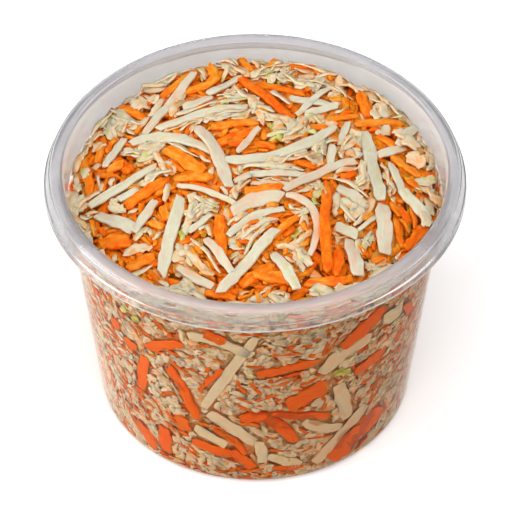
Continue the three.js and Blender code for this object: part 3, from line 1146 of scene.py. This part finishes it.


# In each finish, shade and the pressed shade tint are painted shade colours
cutFinishes = {
    # knife-cut white cabbage ribs: crisp and moist, light goes a little way in and softens their edges
    "knifeCutCabbageRib": {
        "kinds": ("cabbageRibs",),
        "stops": [
            (0.0, "#dabda0"), (0.25, "#d9c8b0"), (0.5, "#cfcdb2"), (0.75, "#d9d4be"), (1.0, "#d1c99f"),
        ],
        "shade": "#ee9c48",
        "paintedPressedShade": "#fffaf4",
        "settings": {
            "Roughness": 0.38, "Specular IOR Level": 0.4, "Subsurface Weight": 0.65,
            "Subsurface Radius": (1.0, 0.9, 0.78), "Subsurface Scale": 1.8 * mm,
        },
        "streak": (0.5, 4.0), "blotch": (1.5, 3.6), "relief": 0.2,
    },
    # grated carrot: saturated orange, rough where the grater tore it
    "gratedCarrot": {
        "kinds": ("carrotSticks", "carrotThreads", "carrotShavings"),
        "stops": [(0.0, "#ffa038"), (0.35, "#ff8a18"), (0.7, "#ff740a"), (1.0, "#f46002")],
        "shade": "#ff780a",
        "paintedPressedShade": "#e9d3c2",
        "settings": {
            "Roughness": 0.4, "Specular IOR Level": 0.2, "Subsurface Weight": 0.85,
            "Subsurface Radius": (1.0, 0.42, 0.1), "Subsurface Scale": 1.5 * mm,
        },
        "streak": (0.6, 1.4), "blotch": (1.4, 2.6), "relief": 0.5,
    },
    # shredded inner leaf: thin, crumpled and translucent, from a painted peach, standing in for carrot light
    # shining through it, to cream, each shred taking its tone at random
    "shreddedCabbageLeaf": {
        "kinds": ("leafFlakes", "leafShreds", "leafCrumbs"),
        "stops": [
            (0.0, "#f0a868"), (0.25, "#ebbe90"), (0.5, "#e5ceab"), (0.75, "#dccfb2"), (0.9, "#d8cd9e"),
            (1.0, "#cbc27c"),
        ],
        "shade": "#ffa844",
        "paintedPressedShade": "#ffffff",
        "settings": {
            "Roughness": 0.42, "Specular IOR Level": 0.35, "Subsurface Weight": 0.7,
            "Subsurface Radius": (1.0, 0.88, 0.76), "Subsurface Scale": 1.0 * mm,
        },
        "streak": (0.5, 1.6), "blotch": (1.3, 2.6), "relief": 0.2,
    },
    # the same where it is pressed wet against the wall
    "pressedCabbageLeaf": {
        "kinds": ("pressedFlakes", "pressedShreds", "pressedCrumbs"),
        "stops": [
            (0.0, "#e89c62"), (0.25, "#e4b890"), (0.5, "#e4ceae"), (0.75, "#e4d7c1"), (0.9, "#dccd9f"),
            (1.0, "#cabe7a"),
        ],
        "shade": "#ff9636",
        "paintedPressedShade": "#ffffff",
        "settings": {
            "Roughness": 0.45, "Specular IOR Level": 0.3, "Subsurface Weight": 0.7,
            "Subsurface Radius": (1.0, 0.82, 0.66), "Subsurface Scale": 0.9 * mm,
        },
        "streak": (0.5, 1.6), "blotch": (1.3, 2.6), "relief": 0.2,
    },
    # shredded outer leaf: the greenest bits
    "shreddedOuterLeaf": {
        "kinds": ("greenCabbage",),
        "stops": [(0.0, "#dcd89e"), (0.5, "#d0cc7c"), (0.85, "#b9bc5c"), (1.0, "#9ca644")],
        "shade": "#cc9a30",
        "paintedPressedShade": "#f4f4ee",
        "settings": {"Roughness": 0.45, "Specular IOR Level": 0.3},
        "streak": (0.5, 2.0), "blotch": (1.6, 4.0), "relief": 0.2,
    },
}


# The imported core

core = {
    "spacing": 0.9,  # between its points
    "relief": 0.7,  # how far they are pushed in or out
    "lump": 2.6,  # the size of the lumps that this makes
    "foot": 1.2,  # how far its underside lies over the cup's floor, and its side starts over that
    "liftFrom": 58.0,  # the heights between which it starts to rise to the back with the heap
    "liftTo": 64.0,
}


def coreProfile():
    foot, spacing = core["foot"], core["spacing"]
    bottom = cup["footRecess"] + cup["wall"] + foot
    points = [(0, bottom), (insideRadius(bottom + 3.0) - mound["underWall"] - 2.0, bottom)]
    top = mound["edge"] - mound["underTop"] - 1.0
    steps = int(top / spacing)
    for i in range(1, steps + 1):
        height = bottom + foot + (top - bottom - foot) * i / steps
        points.append((float(insideRadius(height)) - mound["underWall"], height))
    edge = points[-1][0]
    inward = int(edge / spacing)
    for i in range(1, inward + 1):
        radius = edge * (1 - i / inward)
        points.append((radius, float(moundHeight(radius, -30.0)) - mound["underTop"]))
    return points, int(math.tau * edge / spacing)


def packedCore():
    # what lies under and behind the loose shreds, spun and then pushed in and out like finer shreds
    bm = bmesh.new()
    points, turns = coreProfile()
    drawProfile(bm, points)
    spinProfile(bm, turns)
    bm.normal_update()
    for vert in bm.verts:
        raised = (vert.co.z / mm - core["liftFrom"]) / (core["liftTo"] - core["liftFrom"])
        vert.co.z += min(max(raised, 0), 1) * float(backLift(vert.co.y / mm)) * mm
        place = vert.co / (core["lump"] * mm)
        push = noise.fractal(place, 0.6, 2.0, 3, noise_basis="PERLIN_ORIGINAL")
        vert.co += vert.normal * push * core["relief"] * mm
    return toMesh(bm, "packedCore")


slawMix = {
    "patches": 3.2,
    "shreds": 0.9,
    "atWall": [(0.35, "#f2d8b0"), (0.48, "#f0c690"), (0.6, "#f4a860"), (0.7, "#f28834")],
    # painted light: the top's saturated orange stands in for the light in the gaps between the shreds
    "onTop": [(0.35, "#ffbc64"), (0.48, "#ffa63a"), (0.56, "#ff8a18"), (0.7, "#ff7408")],
    "topFrom": 65.5,  # the heights between which the wall's colours give way to the top's
    "topTo": 67.0,
}


def packedSlaw():
    # slaw packed tight: wet cream and orange shreds in the shade of those over them. On top its colours are
    # painted light: a saturated orange that stands in for the light the carrot throws into the gaps.
    material, tree, shader = newMaterial("packedSlaw", {
        "Roughness": 0.5, "IOR": moistIor, "Specular IOR Level": 0.2, "Subsurface Weight": 0.5,
        "Subsurface Radius": (1.0, 0.5, 0.2), "Subsurface Scale": 1.5 * mm,
    })
    place = addNode(tree, "ShaderNodeTexCoord")["Object"]
    size = {"Scale": 1 / (slawMix["patches"] * mm), "Detail": 3.0, "Distortion": 1.2}
    patches = addNode(tree, "ShaderNodeTexNoise", size, {"Vector": place})["Fac"]
    atWall, onTop = (
        addNode(tree, "ShaderNodeValToRGB", {"stops": slawMix[name]}, {"Fac": patches})[0]
        for name in ("atWall", "onTop")
    )
    height = addNode(tree, "ShaderNodeSeparateXYZ", links={"Vector": place})["Z"]
    ends = {"From Min": slawMix["topFrom"] * mm, "From Max": slawMix["topTo"] * mm}
    share = addNode(tree, "ShaderNodeMapRange", ends, {"Value": height})[0]
    colour = addNode(tree, "ShaderNodeMix", {"data_type": "RGBA"}, {0: share, 6: atWall, 7: onTop})[2]
    tree.links.new(colour, shader.inputs["Base Color"])
    size = {"Scale": 1 / (slawMix["shreds"] * mm), "Detail": 2.0}
    fine = addNode(tree, "ShaderNodeTexNoise", size, {"Vector": place})["Fac"]
    depth = {"Strength": 0.7, "Distance": 0.4 * mm}
    bump = addNode(tree, "ShaderNodeBump", depth, {"Height": fine})["Normal"]
    tree.links.new(bump, shader.inputs["Normal"])
    return material


corePiece = newObject("packedCore", packedCore(), packedSlaw())
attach(corePiece, "root")
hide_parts("coleslaw")
print("core made:", len(corePiece.data.polygons), "faces")

saladMaterials = {}
for finishName, finish in cutFinishes.items():
    cutMaterial = cutVegetable(finishName, finish)
    saladMaterials.update({kindName: cutMaterial for kindName in finish["kinds"]})
for kindName in kinds:
    buildShreds(kindName, saladMaterials[kindName])


# Studio

studio = {
    "floorSize": 6000,
    "floorGlow": 0.2,  # keeps the sweep white to the frame's corners
    "sky": 0.48,
    "aim": (0, 0, 40),
    "lamps": {
        "softboxLight": {"size": 1800, "power": 2.5, "place": (-100, 0, 1500)},
        "frontLight": {"size": 2000, "power": 35.0, "place": (150, -1180, 1900)},
        "sideLight": {"size": 1100, "power": 20.0, "place": (-1500, -350, 450)},
    },
}


def makeFloor():
    bm = bmesh.new()
    bmesh.ops.create_grid(bm, x_segments=1, y_segments=1, size=studio["floorSize"] / 2 * mm)
    material, _, _ = newMaterial("mattWhiteSweep", {
        "Base Color": hexColour("#fdfdfd"), "Roughness": 0.9, "Specular IOR Level": 0.1,
        "Emission Color": (1, 1, 1, 1), "Emission Strength": studio["floorGlow"],
    })
    newObject("floor", toMesh(bm, "floor"), material)


def makeLight(name, light):
    lamp = bpy.data.lights.new(name, "AREA")
    lamp.size = light["size"] * mm
    lamp.energy = light["power"]
    holder = bpy.data.objects.new(name, lamp)
    holder.location = Vector(light["place"]) * mm
    aim = Vector(studio["aim"]) * mm - holder.location
    holder.rotation_euler = aim.to_track_quat("-Z", "Y").to_euler()
    bpy.context.scene.collection.objects.link(holder)


def makeSky():
    world = bpy.data.worlds.new("studio")
    world.use_nodes = True
    light = world.node_tree.nodes["Background"].inputs
    light["Color"].default_value = (1, 1, 1, 1)
    light["Strength"].default_value = studio["sky"]
    bpy.context.scene.world = world


makeFloor()
for lampName, lamp in studio["lamps"].items():
    makeLight(lampName, lamp)
makeSky()
bpy.context.scene.view_settings.view_transform = "Standard"
print("studio lit")
